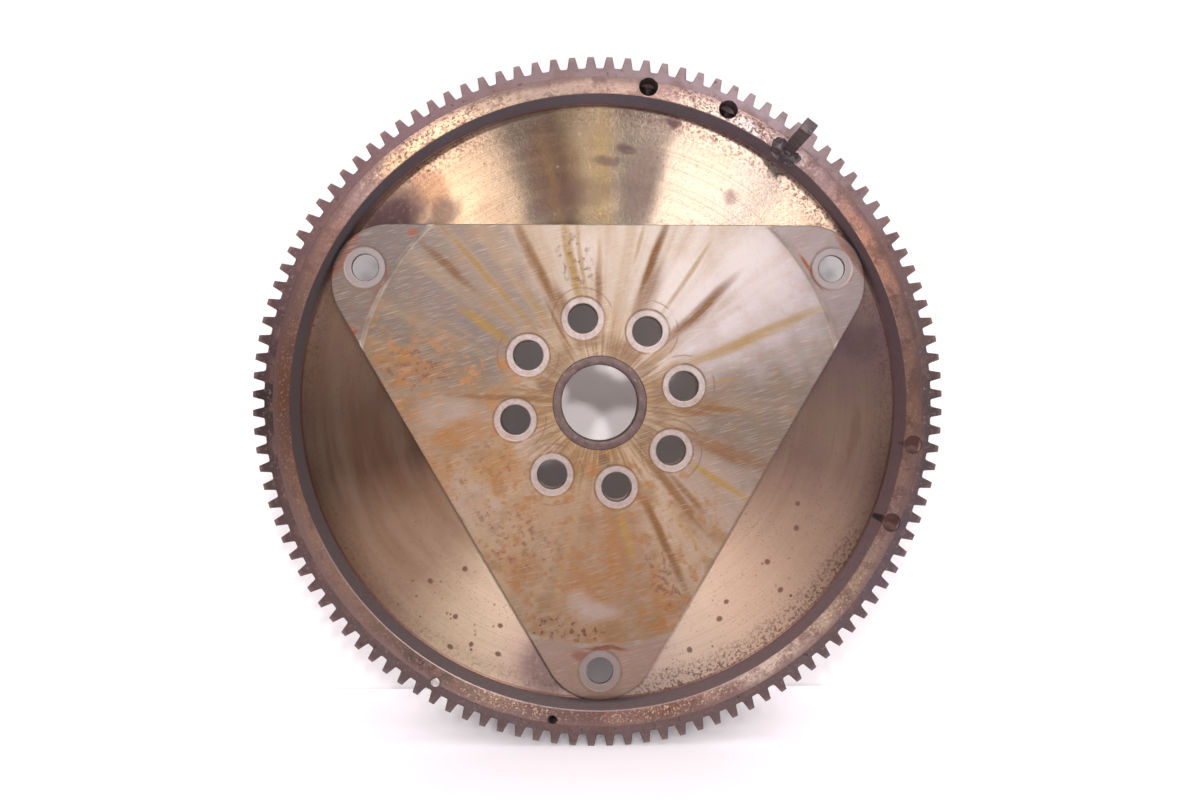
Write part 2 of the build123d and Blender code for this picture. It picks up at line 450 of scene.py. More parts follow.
def makeDrivePlate():
    p = plate
    points, edges, drops = [], [], {}

    def loop(ring, drop=0.0, closed=True):
        start, last = len(points), len(ring) if closed else len(ring) - 1
        points.extend(ring)
        drops.update((start + k, drop) for k in range(len(ring)))
        edges.extend((start + k, start + (k + 1) % len(ring)) for k in range(last))

    holes = [(Vector((0, 0)), p["bore"], 96)]
    for pattern in (crankBolts, tabBolts):
        for bearing, out in boltPlaces(pattern):
            spot = polar(math.radians(bearing), out)
            holes.append((spot, pattern["hole"], 48))
            for gap in (-0.6, -0.15, 0.15, 0.6):
                loop([spot + polar(a, pattern["seat"] + gap) for a in fullTurn(64)])
    edge = p["edge"]
    for inset, drop in ((0.0, edge), (edge * 0.3, edge * 0.3), (edge, 0.0), (edge + 0.4, 0.0)):
        loop(plateOutline(inset), drop)
        for centre, radius, steps in holes:
            loop([centre + polar(a, radius + inset) for a in fullTurn(steps)], drop)
    arcs = [p["step"] + p["stepRun"] * k / 4 for k in range(5)] + [p["bevelFrom"], p["bevelFrom"] + 1.2]
    for radius in arcs:
        for k in range(3):
            start = tabBolts["first"] + 120 * k - 40
            arc = [polar(math.radians(start + j / 2), radius) for j in range(161)]
            loop([spot for spot in arc if edgeDepth(spot.x, spot.y) > edge + 0.6], closed=False)
    # a grid fills what is left, clear of the lines
    span = int(140 / p["grid"])
    for i in range(-span, span + 1):
        for j in range(-span, span + 1):
            spot = Vector(((i + 0.5 * (j % 2)) * p["grid"], j * p["grid"] * 0.866))
            onLine = edgeDepth(spot.x, spot.y) < 1.2 or any(abs(spot.length - r) < 1.0 for r in arcs)
            atHole = any((spot - centre).length < radius + 4.2 for centre, radius, steps in holes)
            if not onLine and not atHole:
                points.append(spot)
    verts, joined, faces, sources = delaunay_2d_cdt(points, edges, [], 0, 1e-6)[:4]
    work = bmesh.new()
    sides = []
    for front in (True, False):
        sides.append([])
        for spot, source in zip(verts, sources):
            drop = max((drops.get(n, 0.0) for n in source), default=0.0)
            height = plateSurface(spot.x, spot.y, front) + (-drop if front else drop)
            sides[-1].append(work.verts.new(Vector((spot.x, -height, spot.y)) * mm))
    top, bottom = sides
    used = {}
    for face in faces:
        centre = sum((verts[k] for k in face), Vector((0, 0))) / 3
        inHole = any((centre - hole).length < radius - 0.001 for hole, radius, steps in holes)
        if inHole or edgeDepth(centre.x, centre.y) < -0.001:
            continue
        work.faces.new([top[k] for k in face])
        work.faces.new([bottom[k] for k in reversed(face)])
        for a, b in zip(face, face[1:] + face[:1]):
            used[frozenset((a, b))] = used.get(frozenset((a, b)), 0) + 1
    for a, b in [tuple(pair) for pair, times in used.items() if times == 1]:
        work.faces.new((top[a], top[b], bottom[b], bottom[a]))
    bmesh.ops.delete(work, geom=[v for v in work.verts if not v.link_faces], context="VERTS")
    return newPiece("drivePlate", work)


# hub sleeve
sleeve = {"bore": 16.8, "body": 20.0, "lip": 20.65, "steps": 192}


def makeSleeve():
    s = sleeve
    top = sleeveFront
    bore, lip, body = s["bore"], s["lip"], s["body"]
    profile = [(bore + 0.5, 0), (bore, 0.5), (bore, top - 0.35), (bore + 0.12, top - 0.1), (bore + 0.35, top),
               (bore + 1.6, top), (lip - 0.9, top), (lip - 0.35, top - 0.06), (lip - 0.08, top - 0.3),
               (lip, top - 0.6), (lip, plateFront + 0.03), (body, plateFront + 0.03), (body, 0.5),
               (body - 0.5, 0)]

    def peened(place, radius, height):
        if height > plateFront and radius > body - 0.6:
            flat = Vector((place.x, 0, place.z)).normalized()
            place -= flat * max(0, wobble(place, 4, 6)) * 0.35 * mm
        return place

    return turn("hubSleeve", profile, s["steps"], peened)


# lock pin
pin = {"radius": 1.96, "rise": 0.55, "dish": 0.3, "steps": 40}


def makeLockPin():
    spot = rimDrillings["pin"]
    foot, top, r = rimHeight - spot["depth"], rimHeight + pin["rise"], pin["radius"]
    dish = top - pin["dish"]
    profile = [(0.0, foot), (r - 0.2, foot), (r, foot + 0.2), (r, rimHeight + 0.1), (r - 0.12, top - 0.14),
               (r - 0.38, top), (r - 0.62, top - 0.03), (r - 0.95, dish), (0.0, dish - 0.03)]
    centre = onDisc(spot["bearing"], spot["radius"], 0)
    work = bmesh.new()
    rings = []
    for across, height in profile:
        ring = []
        for a in fullTurn(pin["steps"] if across > 0 else 1):
            notch = 0.16 * max(0, math.cos(3 * a + 0.7) - 0.86) / 0.14 if height > rimHeight + 0.2 else 0
            reach = max(across - notch, 0)
            place = Vector((reach * math.sin(a), -height, reach * math.cos(a)))
            ring.append(work.verts.new(centre + place * mm))
        rings.append(ring)
    skin(work, rings)
    return newPiece("lockPin", work)


# square peg and its weld
peg = {"side": 5.4, "edge": 0.3, "end": 0.45, "radius": 137.1, "spigot": 1.78, "spigotDepth": 8.0, "rows": 24}
bead = {
    "radius": 134.2, "halfLength": 7.6, "halfWidth": 4.6, "shift": -0.6, "drop": 2.6, "rings": 34,
    "steps": 132, "lobes": [(-4.8, 0.3, 3.7, 2.6), (4.4, -0.6, 2.9, 1.1), (-0.8, -2.9, 2.9, 1.0)],
}


def pegFrame():
    # the peg's outward and sideways directions
    low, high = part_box("reference_peg")
    outward = Vector((low.x + high.x, 0, low.z + high.z)).normalized()
    return outward, Vector((outward.z, 0, -outward.x))


def makePeg():
    outward, sideways = pegFrame()
    high = boxHeights("reference_peg")[1]
    foot, shoulder = rimHeight + 0.02, high - peg["end"]
    centre = outward * peg["radius"]
    half, edge = peg["side"] / 2, peg["edge"]
    corners = []
    for sx, sy in ((1, 1), (1, -1), (-1, -1), (-1, 1)):
        middle = (sx * (half - edge * 0.3), sy * (half - edge * 0.3))
        corner = [(sx * half, sy * (half - edge)), middle, (sx * (half - edge), sy * half)]
        corners += corner if sx * sy < 0 else reversed(corner)
    levels = [(foot + (shoulder - foot) * k / peg["rows"], 0.0) for k in range(peg["rows"] + 1)]
    work = bmesh.new()
    rings = []
    for height, pulledIn in levels + [(high - peg["end"] * 0.35, 0.25 * peg["end"]), (high, peg["end"])]:
        ring = []
        for a, b in corners:
            spot = centre + (outward * a + sideways * b) * (1 - pulledIn / half) + Vector((0, -height, 0))
            spot *= mm
            spot -= (outward * a + sideways * b).normalized() * abs(wobble(spot, 5, 8)) * 0.12 * mm
            ring.append(work.verts.new(spot))
        rings.append(ring)
    skin(work, rings)
    work.faces.new(rings[-1])
    collar = []
    for height in (foot, rimHeight - peg["spigotDepth"]):
        level = centre + Vector((0, -height, 0))
        ways = [outward * math.cos(a) + sideways * math.sin(a) for a in fullTurn(24)]
        collar.append([work.verts.new((level + way * peg["spigot"]) * mm) for way in ways])
    skin(work, collar)
    work.faces.new(collar[1])
    bmesh.ops.triangle_fill(work, edges=[e for e in work.edges if len(e.link_faces) == 1], use_beauty=True)
    return newPiece("timingPeg", work, 40)


def beadCrown(along, across):
    # lumps where the rod dwelt, run together, with the ripples between them
    total = 0.0
    for middle, out, size, rise in bead["lobes"]:
        share = 1 - ((along - middle) ** 2 + (across - out) ** 2) / size ** 2
        total += (rise * math.sqrt(max(share, 0))) ** 3
    ripple = math.sin(3.1 * along + 0.5 * across * across)
    return total ** (1 / 3) + 0.13 * ripple


def makeWeld():
    outward, sideways = pegFrame()
    centre = outward * bead["radius"]
    work = bmesh.new()
    rings = []
    for j in range(bead["rings"] + 1):
        t = j / bead["rings"]
        ring = []
        for a in fullTurn(bead["steps"] if j else 1):
            ragged = 1 + 0.12 * noise.noise(Vector((math.cos(a) * 2.2, math.sin(a) * 2.2, 3.1)))
            along = bead["halfLength"] * math.sin(a) * t * ragged + bead["shift"]
            across = bead["halfWidth"] * math.cos(a) * t * ragged
            spot = centre + outward * across + sideways * along
            lump = 0.45 * noise.noise(spot * 0.5 + Vector((4, 1, 7))) + 0.22 * noise.noise(spot * 1.6)
            foot = rimHeight - 0.15 - bead["drop"] * ramp01(carrier["wallTop"] - spot.length, -0.4, 1.2)
            height = foot + (beadCrown(along, across) + lump) * (1 - t ** 5)
            ring.append(work.verts.new((spot + Vector((0, -height, 0))) * mm))
        rings.append(ring)
    below = Vector((0, 0.6 * mm, 0))
    rings.append([work.verts.new(v.co + below) for v in rings[-1]])
    rings.append([work.verts.new(sum((v.co for v in rings[-1]), Vector()) / bead["steps"])])
    skin(work, rings)
    return newPiece("pegWeld", work, 60)


# finishes
class Finish:
    # a material being mixed, with short names for the nodes it needs

    def __init__(self, name, roughness=0.5, metallic=0.5):
        self.material = bpy.data.materials.new(name)
        self.material.use_nodes = True
        self.tree = self.material.node_tree
        self.shader = self.tree.nodes["Principled BSDF"]
        self.use({"Roughness": roughness, "Metallic": metallic})
        self.place = self.add("ShaderNodeTexCoord")["Object"]
        parts = self.add("ShaderNodeSeparateXYZ", {0: self.place})
        self.z = parts["Z"]
        self.height = self.times(parts["Y"], -1000)
        flat = self.vector("MULTIPLY", self.place, (1000, 0, 1000))
        self.radius = self.vector("LENGTH", flat)
        self.outward = self.vector("NORMALIZE", flat)
        side = self.vector("DOT_PRODUCT", self.outward, (-1, 0, 0))
        ahead = self.vector("DOT_PRODUCT", self.outward, (0, 0, -1))
        self.bearing = self.maths("ADD", self.times(self.maths("ARCTAN2", side, ahead), 180 / math.pi), 180)
        self.tone = None
        self.lastMark = None

    def add(self, kind, inputs={}, **settings):
        return addNode(self.tree, kind, inputs, **settings)

    def use(self, inputs):
        for name, value in inputs.items():
            plug(value, self.shader.inputs[name])

    def maths(self, work, *values):
        return self.add("ShaderNodeMath", dict(enumerate(values)), operation=work)[0]

    def times(self, a, b):
        return self.maths("MULTIPLY", a, b)

    def most(self, *values):
        result = values[0]
        for value in values[1:]:
            result = self.maths("MAXIMUM", result, value)
        return result

    def vector(self, work, a, b=(0, 0, 0)):
        made = self.add("ShaderNodeVectorMath", {0: a, "Scale" if work == "SCALE" else 1: b}, operation=work)
        return made["Value" if work in ("LENGTH", "DOT_PRODUCT", "DISTANCE") else "Vector"]

    def ramp(self, value, low, high, bottom=0.0, top=1.0):
        given = dict(enumerate((value, low, high, bottom, top)))
        return self.add("ShaderNodeMapRange", given, interpolation_type="SMOOTHSTEP")[0]

    def band(self, value, low, high, soft):
        # 1 between low and high, fading over soft at each side
        up = self.ramp(value, low - soft / 2, low + soft / 2)
        return self.times(up, self.ramp(value, high - soft / 2, high + soft / 2, 1.0, 0.0))

    def blend(self, share, under, over):
        return self.add("ShaderNodeMix", {0: share, 6: under, 7: over}, data_type="RGBA")[2]

    def over(self, share, tone):
        # lays one more tone over the mix so far
        self.tone = self.blend(share, self.tone, tone)

    def between(self, share, under, over):
        return self.add("ShaderNodeMix", {0: share, 2: under, 3: over}, data_type="FLOAT")[0]

    def cloud(self, size, detail, seed, where=None):
        # soft noise whose lumps are about size millimetres, 0 to 1 round 0.5
        given = {"Vector": where or self.place, "W": seed, "Scale": (1 if where else 1000) / size,
                 "Detail": detail, "Roughness": 0.55}
        return self.add("ShaderNodeTexNoise", given, noise_dimensions="4D")[0]

    def dots(self, size, seed):
        # distance to the nearest of scattered points, in units of size
        given = {"Vector": self.place, "W": seed, "Scale": 1000 / size}
        return self.add("ShaderNodeTexVoronoi", given, voronoi_dimensions="4D")["Distance"]

    def around(self, turns, run):
        # a place that changes by turns round the axis and by run along the radius
        shift = self.add("ShaderNodeCombineXYZ", {"Y": self.times(self.radius, run)})
        return self.vector("ADD", self.vector("SCALE", self.outward, turns), shift[0])

    def strayed(self, size, reach, seed):
        # the place, pushed about by soft noise
        given = {"Vector": self.vector("ADD", self.place, (seed, seed, seed)), "Scale": 1000 / size}
        push = self.vector("SUBTRACT", self.add("ShaderNodeTexNoise", given)["Color"], (0.5, 0.5, 0.5))
        return self.vector("ADD", self.place, self.vector("SCALE", push, 4 * reach * mm))

    def scratches(self, angle, long, short, seed):
        # noise drawn out along a direction
        a = math.radians(angle)
        lengthwise, crosswise = Vector((math.sin(a), 0, math.cos(a))), Vector((math.cos(a), 0, -math.sin(a)))
        spot = self.add("ShaderNodeCombineXYZ", {
            "X": self.vector("DOT_PRODUCT", self.place, lengthwise / long / mm),
            "Y": self.vector("DOT_PRODUCT", self.place, crosswise / short / mm)})
        return self.cloud(1.0, 3, seed, spot[0])

    def roundTone(self, stops, stray):
        # colours at bearings, their borders pushed about by stray degrees
        turn = self.maths("DIVIDE", self.maths("ADD", self.bearing, stray), 360)
        colour = self.add("ShaderNodeValToRGB", {0: self.maths("FRACT", turn)})[0]
        marks = colour.node.color_ramp.elements
        for mark in marks:
            mark.color = (*stops[0][1:], 1)
        for bearing, *tone in stops[1:]:
            marks.new(bearing / 360).color = (*tone, 1)
        return colour

    def blots(self, spots, place, soft=0.35):
        # patches: (bearing, radius, half width round the axis, half length outwards, strength)
        found = 0.0
        for k, (bearing, radius, wide, long, strength) in enumerate(spots):
            if k % 5 == 0 and self.lastMark:
                # one mark is finished before the next, as the renderer can't hold many open at once
                place = self.add("ShaderNodeVectorMath", {0: self.lastMark, 1: (1e-9, 1e-9, 1e-9), 2: place},
                                 operation="MULTIPLY_ADD")[0]
            given = {"Vector": place, "Location": onDisc(bearing, radius, 0),
                     "Rotation": (0, math.radians(bearing), 0), "Scale": (wide * mm, 1e6, long * mm)}
            local = self.add("ShaderNodeMapping", given, vector_type="TEXTURE")
            mark = self.ramp(self.vector("LENGTH", local[0]), 1 - soft, 1 + soft, strength, 0.0)
            found = self.maths("MAXIMUM", found, mark)
            self.lastMark = found
        return found

    def rays(self, lines, place):
        # marks running out from the hub: (bearing, from, to, width, strength)
        spots = [(bearing, (start + end) / 2, width * 0.48, (end - start) * 0.5, strength)
                 for bearing, start, end, width, strength in lines]
        return self.blots(spots, place, 0.65)

    def fromHoles(self, pattern):
        # millimetres from the nearest hole of a bolt circle
        step = 360 / pattern["count"]
        swung = self.maths("SUBTRACT", self.bearing, pattern["first"] - step / 2 - 360)
        swung = self.maths("RADIANS", self.maths("SUBTRACT", self.maths("MODULO", swung, step), step / 2))
        spot = self.add("ShaderNodeCombineXYZ", {"X": self.times(self.radius, self.maths("SINE", swung)),
                                                 "Y": self.times(self.radius, self.maths("COSINE", swung))})
        return self.vector("DISTANCE", spot[0], (0, pattern["radius"], 0))

    def coat(self, roughness, metallic, relief, depth):
        # the tone goes on the shader, with relief that is depth millimetres high
        normal = self.add("ShaderNodeBump", {"Strength": 1.0, "Distance": depth * mm, "Height": relief})[0]
        self.use({"Base Color": self.tone, "Roughness": roughness, "Metallic": metallic, "Normal": normal})
        return self.material


# tones round the floor of the dish, the rim, its wall and the gear: (bearing, red, green, blue); they hold
# painted light and shade as well as the metal's colour
floorToneAndLight = [
    (0, 0.32, 0.24, 0.158), (6, 0.14, 0.11, 0.085), (13.4, 0.12, 0.095, 0.075), (16.2, 0.27, 0.211, 0.162),
    (26, 0.235, 0.185, 0.14), (38, 0.3, 0.245, 0.205), (50, 0.908, 0.659, 0.477), (64, 0.38, 0.27, 0.22),
    (75, 0.221, 0.14, 0.147), (92, 0.281, 0.184, 0.14), (105, 0.213, 0.131, 0.105),
    (120, 0.267, 0.172, 0.122), (145, 0.33, 0.23, 0.17), (160, 0.42, 0.32, 0.25),
    (186, 0.363, 0.265, 0.244), (198, 0.3, 0.21, 0.17), (203, 0.297, 0.225, 0.167),
    (215, 0.273, 0.202, 0.141), (226, 0.202, 0.128, 0.086), (240, 0.198, 0.115, 0.071),
    (255, 0.095, 0.052, 0.033), (270, 0.168, 0.096, 0.068), (285, 0.272, 0.163, 0.113),
    (305, 0.208, 0.13, 0.098), (324, 0.28, 0.19, 0.115), (337, 0.282, 0.202, 0.135),
    (341, 0.112, 0.083, 0.064), (351, 0.09, 0.064, 0.045), (356, 0.27, 0.2, 0.12),
]
rimToneAndLight = [
    (0, 0.365, 0.254, 0.206), (8, 0.36, 0.245, 0.2), (12, 0.24, 0.15, 0.14), (18, 0.33, 0.25, 0.2),
    (30, 0.231, 0.197, 0.202), (46, 0.22, 0.14, 0.14), (60, 0.469, 0.229, 0.153), (74, 0.22, 0.13, 0.11),
    (92, 0.212, 0.118, 0.08), (114, 0.194, 0.122, 0.112), (126, 0.247, 0.172, 0.114),
    (150, 0.356, 0.274, 0.232), (160, 0.235, 0.13, 0.108), (168, 0.14, 0.064, 0.04),
    (173, 0.3, 0.18, 0.127), (181, 0.106, 0.048, 0.044), (188, 0.104, 0.058, 0.051),
    (200, 0.17, 0.108, 0.076), (212, 0.022, 0.013, 0.012), (230, 0.156, 0.09, 0.068),
    (247, 0.194, 0.113, 0.08), (257, 0.165, 0.087, 0.059), (272, 0.139, 0.055, 0.031),
    (290, 0.18, 0.104, 0.085), (302, 0.282, 0.151, 0.119), (311, 0.235, 0.15, 0.145),
    (320, 0.336, 0.221, 0.126), (330, 0.454, 0.302, 0.185), (340, 0.396, 0.286, 0.209),
    (350, 0.37, 0.27, 0.22),
]
wallToneAndShade = [
    (0, 0.12, 0.097, 0.115), (60, 0.098, 0.059, 0.064), (120, 0.21, 0.13, 0.137), (180, 0.13, 0.09, 0.09),
    (240, 0.14, 0.106, 0.107), (300, 0.074, 0.057, 0.06),
]
gearToneAndLight = [
    (0, 0.155, 0.11, 0.116), (30, 0.241, 0.18, 0.198), (60, 0.113, 0.064, 0.065), (90, 0.044, 0.028, 0.028),
    (120, 0.077, 0.051, 0.061), (150, 0.095, 0.061, 0.06), (180, 0.133, 0.085, 0.085),
    (210, 0.086, 0.056, 0.056), (240, 0.076, 0.042, 0.04), (270, 0.014, 0.003, 0.003),
    (300, 0.095, 0.045, 0.048), (330, 0.126, 0.072, 0.081),
]
# how thickly the rim's face is speckled, with dark flecks and with painted glints
rimFlecksAndGlints = [(0, 0.35), (10, 0.3), (16, 0.75), (34, 0.8), (42, 0.25), (56, 0.5), (70, 0.2), (118, 0.3),
    (126, 0.55), (154, 0.5), (166, 0.8), (176, 0.7), (182, 0.15), (192, 0.8), (202, 0.65), (208, 0.15),
    (250, 0.15), (270, 0.35), (296, 0.2), (314, 0.35), (324, 0.7), (338, 0.8), (345, 0.4)]
floorMarks = {
    # heat and oil stains, then browner ones: (bearing, radius, half width, half length, strength)
    "stains": [(311, 121, 15, 10, 1.0), (320, 108, 9, 5, 0.5), (77, 119, 8, 9, 0.6),
        (191, 119, 12, 15, 0.66), (14.5, 128, 4, 1.6, 0.8), (1.5, 106.5, 7, 2, 0.6), (6, 112, 4, 2.2, 0.7),
        (356, 93, 15, 6, 0.35), (32.5, 108, 3, 3, 0.35), (11, 98, 8, 16, 0.4), (331, 96, 8, 6, 0.12)],
    "browns": [(321.5, 120, 8, 10, 0.6), (305, 120, 14, 10, 0.55), (97, 114, 12, 2.2, 0.25),
        (349, 104, 12, 22, 0.35), (255, 100, 22, 12, 0.2)],
    "olives": [(0.5, 76, 128, 10, 0.55), (348, 80, 122, 5, 0.3), (290, 90, 128, 8, 0.2)],
    "pits": [(122.5, 104, 1.3, 1.2, 1), (117, 99, 1.1, 1.0, 1), (136, 116, 1.4, 1.1, 1),
        (133.5, 103, 1.2, 1.3, 1), (147.5, 105, 1.2, 1.0, 1), (151, 110, 1.4, 1.2, 1),
        (160, 117, 1.2, 1.4, 1), (202, 120, 1.4, 1.1, 1), (204, 108, 1.2, 1.0, 1), (208, 121, 1.0, 1.1, 1),
        (211.5, 126.5, 1.4, 1.0, 1), (214, 114, 1.1, 1.2, 1), (219, 94.5, 1.2, 1.2, 1),
        (223.5, 108.5, 1.3, 1.1, 1)],
}


def mixTurnedSteel():
    f = Finish("turnedSteel")
    # a lathe's finish: the shine spreads across the tool marks, away from the axis
    tangent = f.add("ShaderNodeTangent", direction_type="RADIAL", axis="Y")[0]
    f.use({"Anisotropic": 0.95, "Anisotropic Rotation": 0.25, "Tangent": tangent})
    onFloor = f.ramp(f.height, 6.12, 6.4, 1.0, 0.0)
    onRim = f.ramp(f.height, rimHeight - 0.6, rimHeight - 0.2)
    lines = f.cloud(1.0, 3, 1.0, f.around(0.6, 2.6))
    swirl = f.cloud(1.0, 3, 2.0, f.around(3.0, 0.16))
    grime = f.cloud(20, 5, 3.0)
    fine = f.cloud(1.8, 5, 4.0)
    grit = f.dots(3.2, 5.0)
    bent = f.strayed(9, 1.6, 0.3)
    stray = f.times(f.maths("SUBTRACT", grime, 0.5), 9.0)

    # floor of the dish
    # the floor's tone round the axis, with painted highlights and painted shade in it
    f.tone = f.roundTone(floorToneAndLight, stray)
    f.over(f.ramp(swirl, 0.35, 0.7, 0.0, 0.14), (0.42, 0.32, 0.24))
    f.over(f.ramp(lines, 0.5, 0.75, 0.0, 0.35), (0.16, 0.105, 0.075))
    f.over(f.rays(floorMarks["olives"], bent), (0.24, 0.165, 0.06))
    f.over(f.blots(floorMarks["browns"], bent), (0.14, 0.06, 0.03))
    stains = f.times(f.blots(floorMarks["stains"], bent, 0.5), f.ramp(fine, 0.25, 0.5, 0.6, 1.0))
    f.over(stains, (0.092, 0.052, 0.053))
    edge = f.ramp(f.radius, 121, 129.5)
    lower = f.times(f.band(f.bearing, 118, 228, 18), f.ramp(f.radius, 84, 112))
    pitted = f.times(f.ramp(grit, 0.14, 0.3, 1.0, 0.0), f.ramp(fine, 0.42, 0.6))
    pitted = f.times(pitted, f.most(edge, lower, 0.25))
    grains = f.times(f.ramp(f.dots(1.1, 5.5), 0.16, 0.34, 0.75, 0.0), f.ramp(grime, 0.4, 0.6, 0.3, 1.0))
    f.over(grains, (0.12, 0.07, 0.06))
    sparks = f.times(f.ramp(f.dots(6.0, 8.0), 0.1, 0.2, 1.0, 0.0), f.blots([(349, 106, 24, 22, 0.8)], bent))
    f.over(sparks, (0.38, 0.29, 0.21))
    crust = f.most(f.band(f.bearing, 3, 58, 12), f.band(f.bearing, 116, 175, 16),
                   f.band(f.bearing, 318, 337, 10), 0.35)
    crust = f.times(crust, f.ramp(f.radius, 118, 128))
    crust = f.times(crust, f.ramp(f.cloud(1.2, 6, 5.9), 0.46, 0.62, 0.0, 0.85))
    f.over(crust, (0.10, 0.05, 0.05))
    pitted = f.most(pitted, f.times(f.blots(floorMarks["pits"], f.place, 0.3), 0.8))
    f.over(pitted, (0.10, 0.035, 0.022))
    f.over(f.ramp(f.radius, 130.2, 130.9, 0.0, 0.7), (0.10, 0.035, 0.026))
    floorTone = f.tone

    # face of the rim
    speckle = f.roundTone([(bearing, share, share, share) for bearing, share in rimFlecksAndGlints], stray)
    # the rim's tone round the axis, with painted light and shade in it
    f.tone = f.roundTone(rimToneAndLight, stray)
    f.over(f.ramp(f.cloud(8, 6, 3.4), 0.47, 0.6, 0.0, 0.68), (0.12, 0.063, 0.055))
    flecks = f.times(f.ramp(f.cloud(1.0, 6, 6.4, f.around(105, 1.2)), 0.48, 0.6, 0.0, 0.85), speckle)
    f.over(flecks, (0.10, 0.045, 0.036))
    # painted highlights: light specks of glint on the rim's face
    paintedGlints = f.times(f.ramp(f.cloud(0.9, 5, 6.0), 0.54, 0.64, 0.0, 0.9), speckle)
    f.over(paintedGlints, (0.54, 0.385, 0.285))
    worn = f.maths("ADD", f.radius, f.times(f.maths("SUBTRACT", grime, 0.5), 7.0))
    f.over(f.ramp(worn, 135.4, 138.6, 0.0, 0.75), (0.14, 0.085, 0.08))
    # painted highlight: a light line along the lower half of the rim's inner edge, where the lamps above
    # catch it
    paintedEdgeHighlight = f.times(f.band(f.bearing, 145, 245, 14), f.band(f.radius, 132.0, 132.5, 0.3))
    f.over(paintedEdgeHighlight, (0.26, 0.19, 0.185))

    # the wall's tone round the axis holds painted shade: darker at the top, where the rim shades the wall
    wallTone = f.blend(f.ramp(fine, 0.4, 0.7, 0.0, 0.35), f.roundTone(wallToneAndShade, 0.0), (0.08, 0.045, 0.045))
    wallTone = f.blend(f.ramp(f.height, 6.4, 6.8, 0.5, 0.0), wallTone, (0.11, 0.04, 0.032))
    shadedHollow = f.blots([(b, r, 4.4, 4.4, 1) for b, r, deep in rimDrillings["balance"]["places"]], f.place, 0.03)
    shadedHollow = f.times(shadedHollow, f.ramp(f.height, rimHeight - 0.3, rimHeight - 0.1, 1.0, 0.0))
    f.tone = f.blend(f.times(onRim, f.maths("SUBTRACT", 1.0, shadedHollow)), wallTone, f.tone)
    # painted shade in the balance drillings: dark, and darkest deep down
    hollowShadeDepth = f.ramp(f.height, rimHeight - 4.0, rimHeight - 2.3)
    f.over(shadedHollow, f.blend(hollowShadeDepth, (0.02, 0.01, 0.009), (0.06, 0.022, 0.018)))
    f.over(onFloor, floorTone)
    rough = f.between(onRim, 0.55, f.between(flecks, 0.36, 0.6))
    rough = f.between(onFloor, rough, f.between(lines, 0.3, 0.42))
    rough = f.maths("ADD", rough, f.times(f.most(stains, pitted), 0.18))
    metal = f.between(onFloor, f.between(onRim, 0.3, 0.6), f.between(pitted, 0.85, 0.4))
    relief = f.maths("ADD", lines, f.times(fine, 0.7))
    relief = f.maths("SUBTRACT", relief, f.ramp(fine, 0.47, 0.6, 0.0, 0.5))
    return f.coat(rough, metal, relief, 0.02)


def mixGearSteel():
    f = Finish("gearSteel")
    grime = f.cloud(8, 5, 5.0)
    fine = f.cloud(1.2, 5, 6.0)
    stray = f.times(f.maths("SUBTRACT", grime, 0.5), 16.0)
    # the gear's tone round the axis, with painted light and shade in it
    f.tone = f.roundTone(gearToneAndLight, stray)
    f.over(f.ramp(grime, 0.45, 0.7, 0.0, 0.5), (0.07, 0.035, 0.033))
    f.over(f.ramp(f.radius, 145.2, 147.2, 0.0, 0.35), (0.24, 0.17, 0.165))
    rusty = f.times(f.ramp(f.radius, 139.2, 142.0, 0.6, 0.0), f.ramp(grime, 0.42, 0.6))
    f.over(rusty, (0.14, 0.07, 0.055))
    f.over(f.ramp(fine, 0.53, 0.72, 0.0, 0.5), (0.25, 0.165, 0.15))
    f.over(f.ramp(f.cloud(2.2, 4, 7.0), 0.6, 0.7, 0.0, 0.8), (0.035, 0.018, 0.016))
    rough = f.between(fine, 0.38, 0.62)
    return f.coat(rough, 0.45, fine, 0.06)
